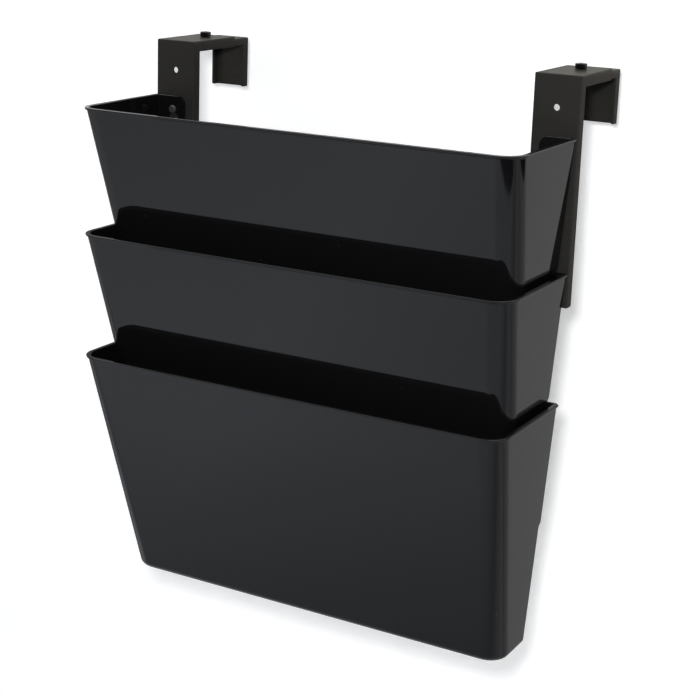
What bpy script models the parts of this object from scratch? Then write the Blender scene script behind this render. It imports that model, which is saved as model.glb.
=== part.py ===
"""Wall file of three stacked letter pockets, hung on a partition's top edge by two hangers.

Frame: metres, +Z up. X runs along the partition, the pockets open upwards and face -Y.
The origin is on the partition's front top edge, midway between the hangers: the partition
lies behind Y = 0 and below Z = 0.
"""

import math

import bmesh
import bpy

MM = 0.001

# Pocket: one moulding, used once at each level, from the top down
LEVELS = ["top", "middle", "bottom"]
POCKET_WIDTH = 330.0 * MM  # over the lip
POCKET_DEPTH = 97.0 * MM  # rear face to the front of the lip
POCKET_HEIGHT = 177.0 * MM
POCKET_PITCH = 88.9 * MM  # rim to rim
POCKET_WALL = 2.3 * MM
SIDE_TAPER = 12.0 * MM  # how far each side comes in, rim to floor
FRONT_TAPER = 51.0 * MM
FRONT_CORNER_RADIUS = 15.0 * MM
REAR_CORNER_RADIUS = 3.0 * MM
FLOOR_RADIUS = 5.0 * MM
LIP_RADIUS = 1.3 * MM  # half the height of the rolled lip
LIP_REACH = 1.5 * MM  # how far the lip stands proud of the wall
INNER_EDGE = 0.6 * MM

# Back wall: it steps forward at the height of each rim below, whose pocket's back fits behind it
NEST_CLEARANCE = 0.4 * MM
STEP_RISE = 3.0 * MM
STEP_ABOVE_NEXT_RIM = 1.0 * MM
FLOOR_CLEAR_SHARE = 0.05  # of the floor's rounding: what may stand lower than the next step
EAR_BESIDE_KEYHOLE = 9.25 * MM  # keyhole's centre line to the ear's inner edge
EAR_RADIUS = 6.5 * MM
BACK_CUT_DEPTH = 32.0 * MM
BACK_CUT_RADIUS = 10.0 * MM
KEYHOLE_TO_SIDE = 6.23 * MM  # centre line to the side wall beside the deepest screw
KEYHOLE_DROP = 9.7 * MM  # rim to the centre of the narrow end
KEYHOLE_RUN = 7.0 * MM  # narrow end to the eye
KEYHOLE_EYE = 9.5 * MM

# Hangers: a channel in front of the partition and a narrower one behind it
RIM_BELOW_STRAP_TOP = 40.0 * MM
STRAP_WIDTH = 32.5 * MM
STRAP_LEVELS = 2  # how many levels of screws hold the strap
STRAP_BELOW_HOLE = 13.8 * MM  # its lowest screw hole to its end
STRAP_LEG = 54.0 * MM
STRAP_WALL = 1.8 * MM
STRAP_FLANGE = 7.5 * MM
STRAP_BEND = 1.0 * MM
STRAP_HOLE = 4.5 * MM
TOP_HOLE_DROP = 21.5 * MM  # strap top to the spare hole that shows above the pocket
HOOK_WALL = 1.8 * MM
HOOK_FLANGE = 7.5 * MM
HOOK_REACH = 77.0 * MM  # front of the strap to the rear of the hook
HOOK_DROP = 37.0 * MM
HOOK_SIDE_CLEARANCE = 0.45 * MM
HOOK_LEG_SETBACK = 12.0 * MM  # front of the strap to the front end of the hook's leg
SLOT_END_WEB = 4.0 * MM
SLOT_COVER = 3.0 * MM  # strap leg beyond the slot's rear end, which it hides
SLOT_CLEARANCE = 0.3 * MM

# Clamp screw and square nut, through the top of each hanger
CLAMP_SETBACK = 39.0 * MM  # front of the strap to the screw's axis
CLAMP_DIAMETER = 4.0 * MM
CLAMP_HEAD_DIAMETER = 8.0 * MM
CLAMP_HEAD_HEIGHT = 3.3 * MM
CLAMP_SOCKET = 3.2 * MM  # across the flats
CLAMP_SOCKET_DEPTH = 2.0 * MM
CLAMP_NUT_WIDTH = 7.0 * MM
CLAMP_NUT_HEIGHT = 2.2 * MM
CLAMP_END = 0.4 * MM  # screw end beyond the nut

# Pocket screws and hexagon nuts, one pair at each level of keyholes
POCKET_SCREW_DIAMETER = 3.0 * MM
POCKET_HEAD_DIAMETER = 5.7 * MM
POCKET_HEAD_HEIGHT = 1.65 * MM
POCKET_CROWN = 0.6 * MM  # how far the head narrows towards its top
POCKET_SOCKET = 2.0 * MM
POCKET_SOCKET_DEPTH = 1.0 * MM
POCKET_NUT_WIDTH = 5.5 * MM
POCKET_NUT_HEIGHT = 2.4 * MM
POCKET_SCREW_END = 0.8 * MM

# Fits shared by several pieces
SEAT = 0.3 * MM  # between faces that touch on the real object
SCREW_CLEARANCE = 0.4 * MM  # all round a screw in its hole or slot
OVERRUN = 2.0 * MM  # how far a cutter passes what it cuts
EDGE_LIFT = 0.05 * MM  # keeps a rounded cutter from ending level with a face
EDGE_BREAK = 0.3 * MM
LEAST_RADIUS = 0.4 * MM

FRONT_CORNER_STEPS = 8
REAR_CORNER_STEPS = 3
FLOOR_STEPS = 4
LIP_STEPS = 4
ROUND_STEPS = 24
ARC_STEPS = 6

# Places that follow from the sizes above
STRAP_TOP = STRAP_FLANGE
STRAP_FRONT = -STRAP_FLANGE
POCKET_BACK = STRAP_FRONT - SEAT
TOP_RIM = STRAP_TOP - RIM_BELOW_STRAP_TOP
BACK_STEP = POCKET_WALL + NEST_CLEARANCE
STEP_REACH = POCKET_HEIGHT + STEP_ABOVE_NEXT_RIM - FLOOR_CLEAR_SHARE * FLOOR_RADIUS
STEP_BOTTOMS = [POCKET_PITCH * number - STEP_ABOVE_NEXT_RIM
                for number in range(1, math.floor(STEP_REACH / POCKET_PITCH) + 1)]
KEYHOLE_DROPS = [KEYHOLE_DROP + POCKET_PITCH * level for level in range(len(LEVELS))]
WALL_HOLE_DROPS = [drop for drop in KEYHOLE_DROPS if drop < POCKET_HEIGHT - FLOOR_RADIUS]
DEEPEST_IN = LIP_REACH + POCKET_WALL + SIDE_TAPER * WALL_HOLE_DROPS[-1] / POCKET_HEIGHT
HANGER_X = POCKET_WIDTH / 2 - DEEPEST_IN - KEYHOLE_TO_SIDE
EAR_INNER = HANGER_X - EAR_BESIDE_KEYHOLE
KEYHOLE_SLOT = POCKET_SCREW_DIAMETER + 2 * SCREW_CLEARANCE
STRAP_HOLE_DROPS = [TOP_HOLE_DROP] + [RIM_BELOW_STRAP_TOP + drop for drop in KEYHOLE_DROPS[:STRAP_LEVELS]]
STRAP_END = STRAP_TOP - STRAP_HOLE_DROPS[-1] - STRAP_BELOW_HOLE
HOOK_TOP = STRAP_TOP - STRAP_WALL - SEAT
HOOK_WIDTH = STRAP_WIDTH - 2 * STRAP_WALL - 2 * HOOK_SIDE_CLEARANCE
HOOK_BACK = STRAP_FRONT + HOOK_REACH
HOOK_LEG_FRONT = STRAP_FRONT + HOOK_LEG_SETBACK
CLAMP_Y = STRAP_FRONT + CLAMP_SETBACK
CLAMP_HOLE = CLAMP_DIAMETER + 2 * SCREW_CLEARANCE
CLAMP_NUT_TOP = HOOK_TOP - HOOK_WALL - SEAT


def finish_material(name, colour, roughness, metallic):
    material = bpy.data.materials.new(name)
    material.use_nodes = True
    shader = material.node_tree.nodes["Principled BSDF"]
    shader.inputs["Base Color"].default_value = (*colour, 1.0)
    shader.inputs["Roughness"].default_value = roughness
    shader.inputs["Metallic"].default_value = metallic
    return material


def make_materials():
    return {
        "plastic": finish_material("pocket_plastic", (0.012, 0.012, 0.013), 0.10, 0.0),
        "strap": finish_material("hanger_paint", (0.030, 0.028, 0.026), 0.42, 0.2),
        "screw": finish_material("black_oxide", (0.012, 0.012, 0.013), 0.28, 0.7),
        "nut": finish_material("zinc_plate", (0.55, 0.56, 0.57), 0.35, 1.0),
    }


def clear_scene():
    for old in list(bpy.data.objects):
        bpy.data.objects.remove(old, do_unlink=True)


def add_object(name, mesh, material, parent=None, location=(0, 0, 0)):
    piece = bpy.data.objects.new(name, mesh)
    if material and not mesh.materials:
        mesh.materials.append(material)
    piece.parent = parent
    piece.location = location
    bpy.context.scene.collection.objects.link(piece)
    return piece


def add_empty(name, location):
    empty = bpy.data.objects.new(name, None)
    empty.location = location
    bpy.context.scene.collection.objects.link(empty)
    return empty


def arc(centre, radius, start, end, steps):
    """Points of an arc in a plane, with its angles in degrees."""
    turn = [math.radians(start + (end - start) * i / steps) for i in range(steps + 1)]
    return [(centre[0] + radius * math.cos(a), centre[1] + radius * math.sin(a)) for a in turn]


def mesh_from(bm, name, smooth_angle=None):
    bmesh.ops.recalc_face_normals(bm, faces=bm.faces[:])
    mesh = bpy.data.meshes.new(name)
    bm.to_mesh(mesh)
    bm.free()
    if smooth_angle:
        mesh.shade_smooth()
        mesh.set_sharp_from_angle(angle=math.radians(smooth_angle))
    return mesh


def loft(name, rings, smooth_angle=35):
    """A closed solid through rings of equal counts of points, flat at both ends."""
    bm = bmesh.new()
    loops = [[bm.verts.new(p) for p in points] for points in rings]
    for near, far in zip(loops, loops[1:]):
        for i, vert in enumerate(near):
            bm.faces.new((near[i - 1], vert, far[i], far[i - 1]))
    bm.faces.new(loops[0])
    bm.faces.new(loops[-1])
    return mesh_from(bm, name, smooth_angle)


def prism(name, outline, low, high, place):
    """An outline drawn in a plane and extruded from low to high; place turns (u, v, w) to x, y, z."""
    bm = bmesh.new()
    face = bm.faces.new([bm.verts.new(place(u, v, low)) for u, v in outline])
    grown = bmesh.ops.extrude_face_region(bm, geom=[face])
    for vert, (u, v) in zip([v for v in grown["geom"] if isinstance(v, bmesh.types.BMVert)], outline):
        vert.co = place(u, v, high)
    return mesh_from(bm, name)


def along_x(u, v, w):
    return (w, u, v)


def along_y(u, v, w):
    return (u, w, v)


def along_z(u, v, w):
    return (u, v, w)


def circle(radius, steps=ROUND_STEPS):
    return [(radius * math.cos(a), radius * math.sin(a))
            for a in (2 * math.pi * i / steps for i in range(steps))]


def hexagon(width):
    return circle(width / math.sqrt(3), 6)


def shifted(outline, du, dv):
    return [(u + du, v + dv) for u, v in outline]


def slot_outline(width, low, high):
    """A slot with round ends along v, from end to end."""
    radius = width / 2
    top = arc((0, high - radius), radius, 0, 180, ARC_STEPS)
    bottom = arc((0, low + radius), radius, 180, 360, ARC_STEPS)
    return top + bottom


def add_cutter(name, mesh):
    cutter = add_object(name, mesh, None)
    cutter.hide_render = True
    cutter.display_type = "WIRE"
    return cutter


def cut(mesh, cutters):
    """The mesh with each cutter's shape taken out, as new mesh data."""
    blank = add_object(mesh.name + "_blank", mesh, None)
    for number, cutter_mesh in enumerate(cutters):
        cutter = add_cutter(f"{mesh.name}_cutter_{number}", cutter_mesh)
        step = blank.modifiers.new(cutter.name, "BOOLEAN")
        step.operation = "DIFFERENCE"
        step.solver = "EXACT"
        step.object = cutter
    graph = bpy.context.evaluated_depsgraph_get()
    result = bpy.data.meshes.new_from_object(blank.evaluated_get(graph))
    result.name = mesh.name + "_cut"
    bpy.data.objects.remove(blank, do_unlink=True)
    return result


def soften(mesh, width, angle=60):
    """The mesh with its sharp edges rounded by a Bevel modifier."""
    blank = add_object(mesh.name + "_blank", mesh, None)
    bevel = blank.modifiers.new("soft edges", "BEVEL")
    bevel.width = width
    bevel.segments = 2
    bevel.limit_method = "ANGLE"
    bevel.angle_limit = math.radians(angle)
    graph = bpy.context.evaluated_depsgraph_get()
    result = bpy.data.meshes.new_from_object(blank.evaluated_get(graph))
    result.name = mesh.name + "_soft"
    bpy.data.objects.remove(blank, do_unlink=True)
    return result


# Pocket

def steps_passed(drop):
    """How many of the back's steps lie above this depth below the rim, part of a step included."""
    return sum(min(max((drop - bottom) / STEP_RISE + 1, 0.0), 1.0) for bottom in STEP_BOTTOMS)


def pocket_ring(drop, inset=0.0):
    """A level section of the pocket's wall: drop is below the rim, inset is in from the outside."""
    share = drop / POCKET_HEIGHT
    half = POCKET_WIDTH / 2 - LIP_REACH - SIDE_TAPER * share - inset
    front = -(POCKET_DEPTH - LIP_REACH) + FRONT_TAPER * share + inset
    rear = -BACK_STEP * steps_passed(drop) - max(inset, 0.0)
    front_radius = max(FRONT_CORNER_RADIUS - inset, LEAST_RADIUS)
    rear_radius = max(REAR_CORNER_RADIUS - max(inset, 0.0), LEAST_RADIUS)
    side, near = half - rear_radius, half - front_radius
    points = arc((side, rear - rear_radius), rear_radius, 0, 90, REAR_CORNER_STEPS)
    points += arc((-side, rear - rear_radius), rear_radius, 90, 180, REAR_CORNER_STEPS)
    points += arc((-near, front + front_radius), front_radius, 180, 270, FRONT_CORNER_STEPS)
    points += arc((near, front + front_radius), front_radius, 270, 360, FRONT_CORNER_STEPS)
    return [(x, y, -drop) for x, y in points]


def floor_rings(thickness):
    """The rounding between wall and floor, floor first, on the outside or inside of the wall."""
    radius = FLOOR_RADIUS - thickness
    rings = []
    for i in range(FLOOR_STEPS + 1):
        turn = math.radians(90 * i / FLOOR_STEPS)
        drop = POCKET_HEIGHT - thickness - radius * (1 - math.cos(turn))
        rings.append(pocket_ring(drop, thickness + radius * (1 - math.sin(turn))))
    return rings


def lip_rings():
    """The rolled lip, from under it to the inner edge of the rim."""
    centre = LIP_RADIUS - LIP_REACH
    rings = [pocket_ring(2 * LIP_RADIUS - centre)]
    for i in range(LIP_STEPS + 1):
        turn = math.radians(180 * i / LIP_STEPS)
        drop = LIP_RADIUS + LIP_RADIUS * math.cos(turn)
        rings.append(pocket_ring(drop, centre - LIP_RADIUS * math.sin(turn)))
    rings.append(pocket_ring(0.0, POCKET_WALL - INNER_EDGE))
    rings.append(pocket_ring(INNER_EDGE, POCKET_WALL))
    return rings


def back_cutter():
    """Lowers the back between the ears, and rounds the ears' inner corners."""
    side = arc((EAR_INNER + EAR_RADIUS, EDGE_LIFT - EAR_RADIUS), EAR_RADIUS, 90, 180, ARC_STEPS)
    corner = (EAR_INNER - BACK_CUT_RADIUS, BACK_CUT_RADIUS - BACK_CUT_DEPTH)
    right = [(EAR_INNER + EAR_RADIUS, OVERRUN)] + side + arc(corner, BACK_CUT_RADIUS, 0, -90, ARC_STEPS)
    left = [(-x, z) for x, z in reversed(right)]
    return prism("back_cutter", right + left, -POCKET_WALL - OVERRUN, OVERRUN, along_y)


def keyhole_cutter(x):
    """Narrow above, with an eye below that lets a screw's head or nut through."""
    half, eye = KEYHOLE_SLOT / 2, KEYHOLE_EYE / 2
    meet = math.degrees(math.acos(half / eye))
    outline = arc((0, 0), half, 0, 180, ARC_STEPS)
    outline += arc((0, -KEYHOLE_RUN), eye, 180 - meet, 360 + meet, 2 * ARC_STEPS)
    outline = shifted(outline, x, -KEYHOLE_DROP)
    return prism("keyhole_cutter", outline, -POCKET_WALL - OVERRUN, OVERRUN, along_y)


def stack_hole_cutter(x, number):
    """The hole in the lower back for the screw of a keyhole that many levels below."""
    outline = shifted(circle(KEYHOLE_SLOT / 2, ROUND_STEPS // 2), x, -WALL_HOLE_DROPS[number])
    back = -BACK_STEP * number
    return prism("stack_hole_cutter", outline, back - POCKET_WALL - OVERRUN, back + OVERRUN, along_y)


def pocket_mesh():
    drops = [bottom - rise for bottom in STEP_BOTTOMS for rise in (STEP_RISE, 0)]
    drops = [drop for drop in drops if drop < POCKET_HEIGHT - FLOOR_RADIUS]
    rings = floor_rings(0.0)
    rings += [pocket_ring(drop) for drop in reversed(drops)]
    rings += lip_rings()
    rings += [pocket_ring(drop, POCKET_WALL) for drop in drops]
    rings += reversed(floor_rings(POCKET_WALL))
    cutters = []
    for x in (-HANGER_X, HANGER_X):
        cutters.append(keyhole_cutter(x))
        cutters += [stack_hole_cutter(x, number) for number in range(1, len(WALL_HOLE_DROPS))]
    return cut(loft("pocket", rings), cutters + [back_cutter()])


# Hanger, drawn about its own centre plane

def channel(name, width, wall, side, hollow, bend):
    """A bent channel: its side outline across the full width, less the hollow between its flanges."""
    body = soften(prism(name, side, -width / 2, width / 2, along_x), bend)
    inside = prism(name + "_hollow", hollow, wall - width / 2, width / 2 - wall, along_x)
    return body, inside


def strap_mesh():
    low, leg_end = STRAP_END, STRAP_FRONT + STRAP_LEG
    edge_y, edge_z = STRAP_FRONT + STRAP_FLANGE, STRAP_TOP - STRAP_FLANGE
    side = [(STRAP_FRONT, low), (edge_y, low), (edge_y, edge_z), (leg_end, edge_z),
            (leg_end, STRAP_TOP), (STRAP_FRONT, STRAP_TOP)]
    face, roof = STRAP_FRONT + STRAP_WALL, STRAP_TOP - STRAP_WALL
    hollow = [(face, low - OVERRUN), (leg_end + OVERRUN, low - OVERRUN),
              (leg_end + OVERRUN, roof), (face, roof)]
    body, inside = channel("strap", STRAP_WIDTH, STRAP_WALL, side, hollow, STRAP_BEND)
    cutters = [inside]
    for drop in STRAP_HOLE_DROPS:
        outline = shifted(circle(STRAP_HOLE / 2), 0, STRAP_TOP - drop)
        cutters.append(prism("strap_hole", outline, STRAP_FRONT - OVERRUN, face + OVERRUN, along_y))
    outline = shifted(circle(CLAMP_HOLE / 2), 0, CLAMP_Y)
    cutters.append(prism("clamp_hole", outline, roof - OVERRUN, STRAP_TOP + OVERRUN, along_z))
    return cut(body, cutters)


def hook_mesh():
    low = HOOK_TOP - HOOK_DROP
    edge_y = HOOK_BACK - HOOK_FLANGE
    side = [(HOOK_LEG_FRONT, 0), (edge_y, 0), (edge_y, low), (HOOK_BACK, low),
            (HOOK_BACK, HOOK_TOP), (HOOK_LEG_FRONT, HOOK_TOP)]
    plate, roof = HOOK_BACK - HOOK_WALL, HOOK_TOP - HOOK_WALL
    hollow = [(HOOK_LEG_FRONT - OVERRUN, low - OVERRUN), (plate, low - OVERRUN),
              (plate, roof), (HOOK_LEG_FRONT - OVERRUN, roof)]
    body, inside = channel("hook", HOOK_WIDTH, HOOK_WALL, side, hollow, STRAP_BEND)
    width = CLAMP_DIAMETER + 2 * SLOT_CLEARANCE
    slot = slot_outline(width, HOOK_LEG_FRONT + SLOT_END_WEB, STRAP_FRONT + STRAP_LEG - SLOT_COVER)
    slot_cutter = prism("hook_slot", slot, roof - OVERRUN, HOOK_TOP + OVERRUN, along_z)
    return cut(body, [inside, slot_cutter])


# Fasteners, drawn along +Z from the seat under the head, the shank pointing down

def turned(name, profile):
    """A round solid: profile is (radius, height) pairs from one end to the other."""
    rings = [[(x, y, height) for x, y in circle(radius)] for radius, height in profile]
    return loft(name, rings)


def screw_mesh(name, diameter, length, head_width, head_height, socket, socket_depth, crown):
    """A socket screw; crown is how much its head narrows towards the top."""
    head, shank = head_width / 2, diameter / 2
    profile = [(shank - EDGE_BREAK, -length), (shank, EDGE_BREAK - length), (shank, 0), (head, 0),
               (head, head_height - crown - EDGE_BREAK), (head - EDGE_BREAK, head_height - crown),
               (head - crown - EDGE_BREAK, head_height)]
    recess = prism(name + "_socket", hexagon(socket), head_height - socket_depth,
                   head_height + OVERRUN, along_z)
    return cut(turned(name, profile), [recess])


def nut_mesh(name, outline, height, hole):
    bore = prism(name + "_bore", circle(hole / 2), -OVERRUN, height + OVERRUN, along_z)
    return cut(prism(name, outline, 0, height, along_z), [bore])


# Levels: each has a screw and a nut at either side, through the pocket's keyhole

def walls_clamped(level):
    """From the pocket's rear face through its wall and the lower backs of the pockets above it."""
    return POCKET_WALL + BACK_STEP * min(level, len(WALL_HOLE_DROPS) - 1)


def nut_setback(level):
    """The pocket's rear face to the nut, which sits behind the strap where the strap reaches it."""
    return 2 * SEAT + STRAP_WALL if level < STRAP_LEVELS else SEAT


def pocket_screw_mesh(level):
    length = SEAT + walls_clamped(level) + nut_setback(level) + POCKET_NUT_HEIGHT + POCKET_SCREW_END
    return screw_mesh(LEVELS[level] + "_screw", POCKET_SCREW_DIAMETER, length, POCKET_HEAD_DIAMETER,
                      POCKET_HEAD_HEIGHT, POCKET_SOCKET, POCKET_SOCKET_DEPTH, POCKET_CROWN)


def build_pockets(materials):
    stack = add_empty("pocket_stack", (0, POCKET_BACK, TOP_RIM))
    mesh = pocket_mesh()
    for level, name in enumerate(LEVELS):
        add_object(name + "_pocket", mesh, materials["plastic"], stack, (0, 0, -POCKET_PITCH * level))


def build_hanger(side, x, meshes, materials):
    hanger = add_empty(side + "_hanger", (x, 0, 0))
    add_object(side + "_strap", meshes["strap"], materials["strap"], hanger)
    add_object(side + "_rear_hook", meshes["hook"], materials["strap"], hanger)
    seat = (0, CLAMP_Y, STRAP_TOP + SEAT)
    add_object(side + "_clamp_screw", meshes["clamp_screw"], materials["screw"], hanger, seat)
    nut_seat = (0, CLAMP_Y, CLAMP_NUT_TOP - CLAMP_NUT_HEIGHT)
    add_object(side + "_clamp_nut", meshes["clamp_nut"], materials["nut"], hanger, nut_seat)
    for level, name in enumerate(LEVELS):
        height = TOP_RIM - KEYHOLE_DROPS[level]
        front = (0, POCKET_BACK - walls_clamped(level) - SEAT, height)
        rear = (0, POCKET_BACK + nut_setback(level) + POCKET_NUT_HEIGHT, height)
        screw = add_object(f"{side}_{name}_screw", meshes[name], materials["screw"], hanger, front)
        nut = add_object(f"{side}_{name}_nut", meshes["pocket_nut"], materials["nut"], hanger, rear)
        for piece in (screw, nut):
            piece.rotation_euler = (math.radians(90), 0, 0)


def build_hangers(materials):
    clamp_length = STRAP_TOP + SEAT - (CLAMP_NUT_TOP - CLAMP_NUT_HEIGHT) + CLAMP_END
    half = CLAMP_NUT_WIDTH / 2
    square = [(-half, -half), (half, -half), (half, half), (-half, half)]
    meshes = {
        "strap": strap_mesh(),
        "hook": hook_mesh(),
        "clamp_screw": screw_mesh("clamp_screw", CLAMP_DIAMETER, clamp_length, CLAMP_HEAD_DIAMETER,
                                  CLAMP_HEAD_HEIGHT, CLAMP_SOCKET, CLAMP_SOCKET_DEPTH, 0.0),
        "clamp_nut": nut_mesh("clamp_nut", square, CLAMP_NUT_HEIGHT, CLAMP_HOLE),
        "pocket_nut": nut_mesh("pocket_nut", hexagon(POCKET_NUT_WIDTH), POCKET_NUT_HEIGHT,
                               KEYHOLE_SLOT),
    }
    for level, name in enumerate(LEVELS):
        meshes[name] = pocket_screw_mesh(level)
    build_hanger("left", -HANGER_X, meshes, materials)
    build_hanger("right", HANGER_X, meshes, materials)


def main():
    clear_scene()
    materials = make_materials()
    build_pockets(materials)
    build_hangers(materials)


main()
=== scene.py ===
import math

import bmesh
import bpy
from mathutils import Matrix, Vector


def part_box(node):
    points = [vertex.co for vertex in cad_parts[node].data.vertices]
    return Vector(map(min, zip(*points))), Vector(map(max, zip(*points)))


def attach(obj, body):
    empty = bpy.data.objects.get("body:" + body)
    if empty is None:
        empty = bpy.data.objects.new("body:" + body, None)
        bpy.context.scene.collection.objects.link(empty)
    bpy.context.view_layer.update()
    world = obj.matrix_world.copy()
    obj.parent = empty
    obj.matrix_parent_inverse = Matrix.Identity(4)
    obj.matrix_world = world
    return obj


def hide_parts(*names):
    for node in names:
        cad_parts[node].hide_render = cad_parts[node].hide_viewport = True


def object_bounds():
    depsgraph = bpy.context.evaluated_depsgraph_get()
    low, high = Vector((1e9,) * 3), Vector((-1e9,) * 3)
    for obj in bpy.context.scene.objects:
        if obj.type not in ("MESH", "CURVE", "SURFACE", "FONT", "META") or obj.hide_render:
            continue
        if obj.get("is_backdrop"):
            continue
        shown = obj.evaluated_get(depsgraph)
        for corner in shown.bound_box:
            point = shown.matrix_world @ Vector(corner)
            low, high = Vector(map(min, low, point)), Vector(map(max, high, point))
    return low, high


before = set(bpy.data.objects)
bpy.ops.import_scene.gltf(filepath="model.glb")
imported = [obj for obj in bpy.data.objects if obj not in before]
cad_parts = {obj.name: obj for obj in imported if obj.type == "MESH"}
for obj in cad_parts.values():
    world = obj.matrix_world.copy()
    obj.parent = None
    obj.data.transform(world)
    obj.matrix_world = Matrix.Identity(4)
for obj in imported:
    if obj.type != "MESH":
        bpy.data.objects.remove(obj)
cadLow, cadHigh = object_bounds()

mm = 0.001
cutOver = 2 * mm  # how far a cutting shape passes what it cuts
hairGap = 0.02 * mm  # keeps a cutting shape from ending level with a face
samePoint = 0.001 * mm  # points closer than this are one
crispFrom = 35  # degrees: an edge sharper than this is shaded crisp
breakFrom = 50  # degrees: an edge sharper than this is rounded
sides = {"left": -1, "right": 1}
levels = ["top", "middle", "bottom"]


# Mesh helpers

def openMesh(thing):
    bm = bmesh.new()
    bm.from_mesh(thing.data)
    return bm


def closeMesh(bm, mesh):
    bm.to_mesh(mesh)
    bm.free()
    return mesh


def shade(mesh, crisp=crispFrom):
    mesh.shade_smooth()
    mesh.set_sharp_from_angle(angle=math.radians(crisp))


def addObject(name, data):
    thing = bpy.data.objects.new(name, data)
    bpy.context.scene.collection.objects.link(thing)
    return thing


def toObject(bm, name, crisp=crispFrom):
    bmesh.ops.recalc_face_normals(bm, faces=bm.faces[:])
    mesh = closeMesh(bm, bpy.data.meshes.new(name))
    shade(mesh, crisp)
    return addObject(name, mesh)


def discard(*things):
    for thing in things:
        bpy.data.objects.remove(thing, do_unlink=True)


def applyModifiers(thing):
    graph = bpy.context.evaluated_depsgraph_get()
    finished = bpy.data.meshes.new_from_object(thing.evaluated_get(graph))
    thing.modifiers.clear()
    thing.data = finished


# cuts (or joins) other shapes into a piece, and throws the shapes away
def combine(thing, others, how="DIFFERENCE"):
    for other in others:
        step = thing.modifiers.new(other.name, "BOOLEAN")
        step.operation = how
        step.solver = "EXACT"
        step.object = other
    applyModifiers(thing)
    discard(*others)


def bevel(bm, parts, width, steps, affect="EDGES", clamp=False):
    bmesh.ops.bevel(bm, geom=parts, affect=affect, offset=width, segments=steps, profile=0.5,
                    clamp_overlap=clamp, material=-1)


# rounds the sharp edges that the test picks out
def breakEdges(thing, width, steps, wanted=lambda edge: True):
    bm = openMesh(thing)
    bmesh.ops.remove_doubles(bm, verts=bm.verts[:], dist=samePoint)
    sharp = [edge for edge in bm.edges
             if edge.calc_face_angle(0) > math.radians(breakFrom) and wanted(edge)]
    bevel(bm, sharp, width, steps, clamp=True)
    shade(closeMesh(bm, thing.data))
    flats = thing.modifiers.new("flatFaces", "WEIGHTED_NORMAL")
    flats.keep_sharp = True
    applyModifiers(thing)


# the straight edges that lie where a rule says, such as {"y": front, "z": top}
def edgesAt(bm, rules):
    def fits(edge, rule):
        return all(abs(v.co["xyz".index(axis)] - value) < hairGap
                   for axis, value in rule.items() for v in edge.verts)

    return [edge for edge in bm.edges if any(fits(edge, rule) for rule in rules)]


def roundEdges(thing, rules, radius, steps):
    bm = openMesh(thing)
    bevel(bm, edgesAt(bm, rules), radius, steps)
    closeMesh(bm, thing.data)


# the new points among what an operator made
def newPoints(made):
    return [part for part in made["geom"] if isinstance(part, bmesh.types.BMVert)]


# the angles of a quarter turn in equal steps
def quarterTurn(steps):
    return [math.radians(90 * i / steps) for i in range(steps + 1)]


def alongX(u, v, w):
    return (w, u, v)


def alongY(u, v, w):
    return (u, w, v)


def alongZ(u, v, w):
    return (u, v, w)


# a flat outline drawn in u and v, pushed from one depth to another along w
def slab(name, outline, low, high, place3d, rounded=()):
    bm = bmesh.new()
    verts = [bm.verts.new(place3d(u, v, low)) for u, v in outline]
    bm.faces.new(verts)
    for numbers, radius, steps in rounded:
        bevel(bm, [verts[n] for n in numbers], radius, steps, affect="VERTICES")
    grown = bmesh.ops.extrude_face_region(bm, geom=bm.faces[:])
    push = Vector(place3d(0, 0, high)) - Vector(place3d(0, 0, low))
    bmesh.ops.translate(bm, verts=newPoints(grown), vec=push)
    return toObject(bm, name)


def rodAlong(name, axis, radius, low, high, centre, steps=48):
    bm = bmesh.new()
    turn = {"y": Matrix.Rotation(math.radians(90), 4, "X"), "z": Matrix.Identity(4)}[axis]
    bmesh.ops.create_cone(bm, cap_ends=True, segments=steps, radius1=radius, radius2=radius,
                          depth=high - low, matrix=turn)
    move = Vector(centre)
    move["xyz".index(axis)] = (low + high) / 2
    bmesh.ops.translate(bm, verts=bm.verts[:], vec=move)
    return toObject(bm, name)


# a round solid from a half outline of (radius, height), starting and ending on the axis
def turned(name, outline, steps=72):
    bm = bmesh.new()
    verts = [bm.verts.new((radius, 0, height)) for radius, height in outline]
    edges = [bm.edges.new(pair) for pair in zip(verts, verts[1:])]
    bmesh.ops.spin(bm, geom=verts + edges, cent=(0, 0, 0), axis=(0, 0, 1), angle=2 * math.pi,
                   steps=steps, use_merge=True)
    bmesh.ops.remove_doubles(bm, verts=bm.verts[:], dist=samePoint)
    return toObject(bm, name)


def middleOf(node):
    low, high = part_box(node)
    return (low + high) / 2


# copies a finished shape into place under its own name, ties it to its body, and hides the CAD node it
# stands in for
def place(thing, name, matrix, node, body, material):
    mesh = thing.data.copy()
    mesh.transform(matrix)
    mesh.name = name
    mesh.materials.clear()
    mesh.materials.append(material)
    piece = addObject(name, mesh)
    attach(piece, body)
    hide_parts(node)


# Shader node helpers

# joins a socket to another one, gives it a plain value, or leaves it as it is for None
def feed(tree, socket, value):
    if isinstance(value, bpy.types.NodeSocket):
        tree.links.new(value, socket)
    elif value is not None:
        socket.default_value = value


def addNode(tree, kind, *values):
    node = tree.nodes.new(kind)
    for socket, value in zip(node.inputs, values):
        feed(tree, socket, value)
    return node


def addNamed(tree, kind, values):
    node = tree.nodes.new(kind)
    for label, value in values.items():
        feed(tree, node.inputs[label], value)
    return node


def addMath(tree, operation, first, second=None):
    node = addNode(tree, "ShaderNodeMath", first, second)
    node.operation = operation
    return node.outputs[0]


def addNoise(tree, vector, scale, detail):
    noise = {"Vector": vector, "Scale": scale, "Detail": detail}
    return addNamed(tree, "ShaderNodeTexNoise", noise).outputs["Fac"]


def addRange(tree, value, low, high, toLow, toHigh):
    ends = {"Value": value, "From Min": low, "From Max": high, "To Min": toLow, "To Max": toHigh}
    return addNamed(tree, "ShaderNodeMapRange", ends).outputs["Result"]


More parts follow.
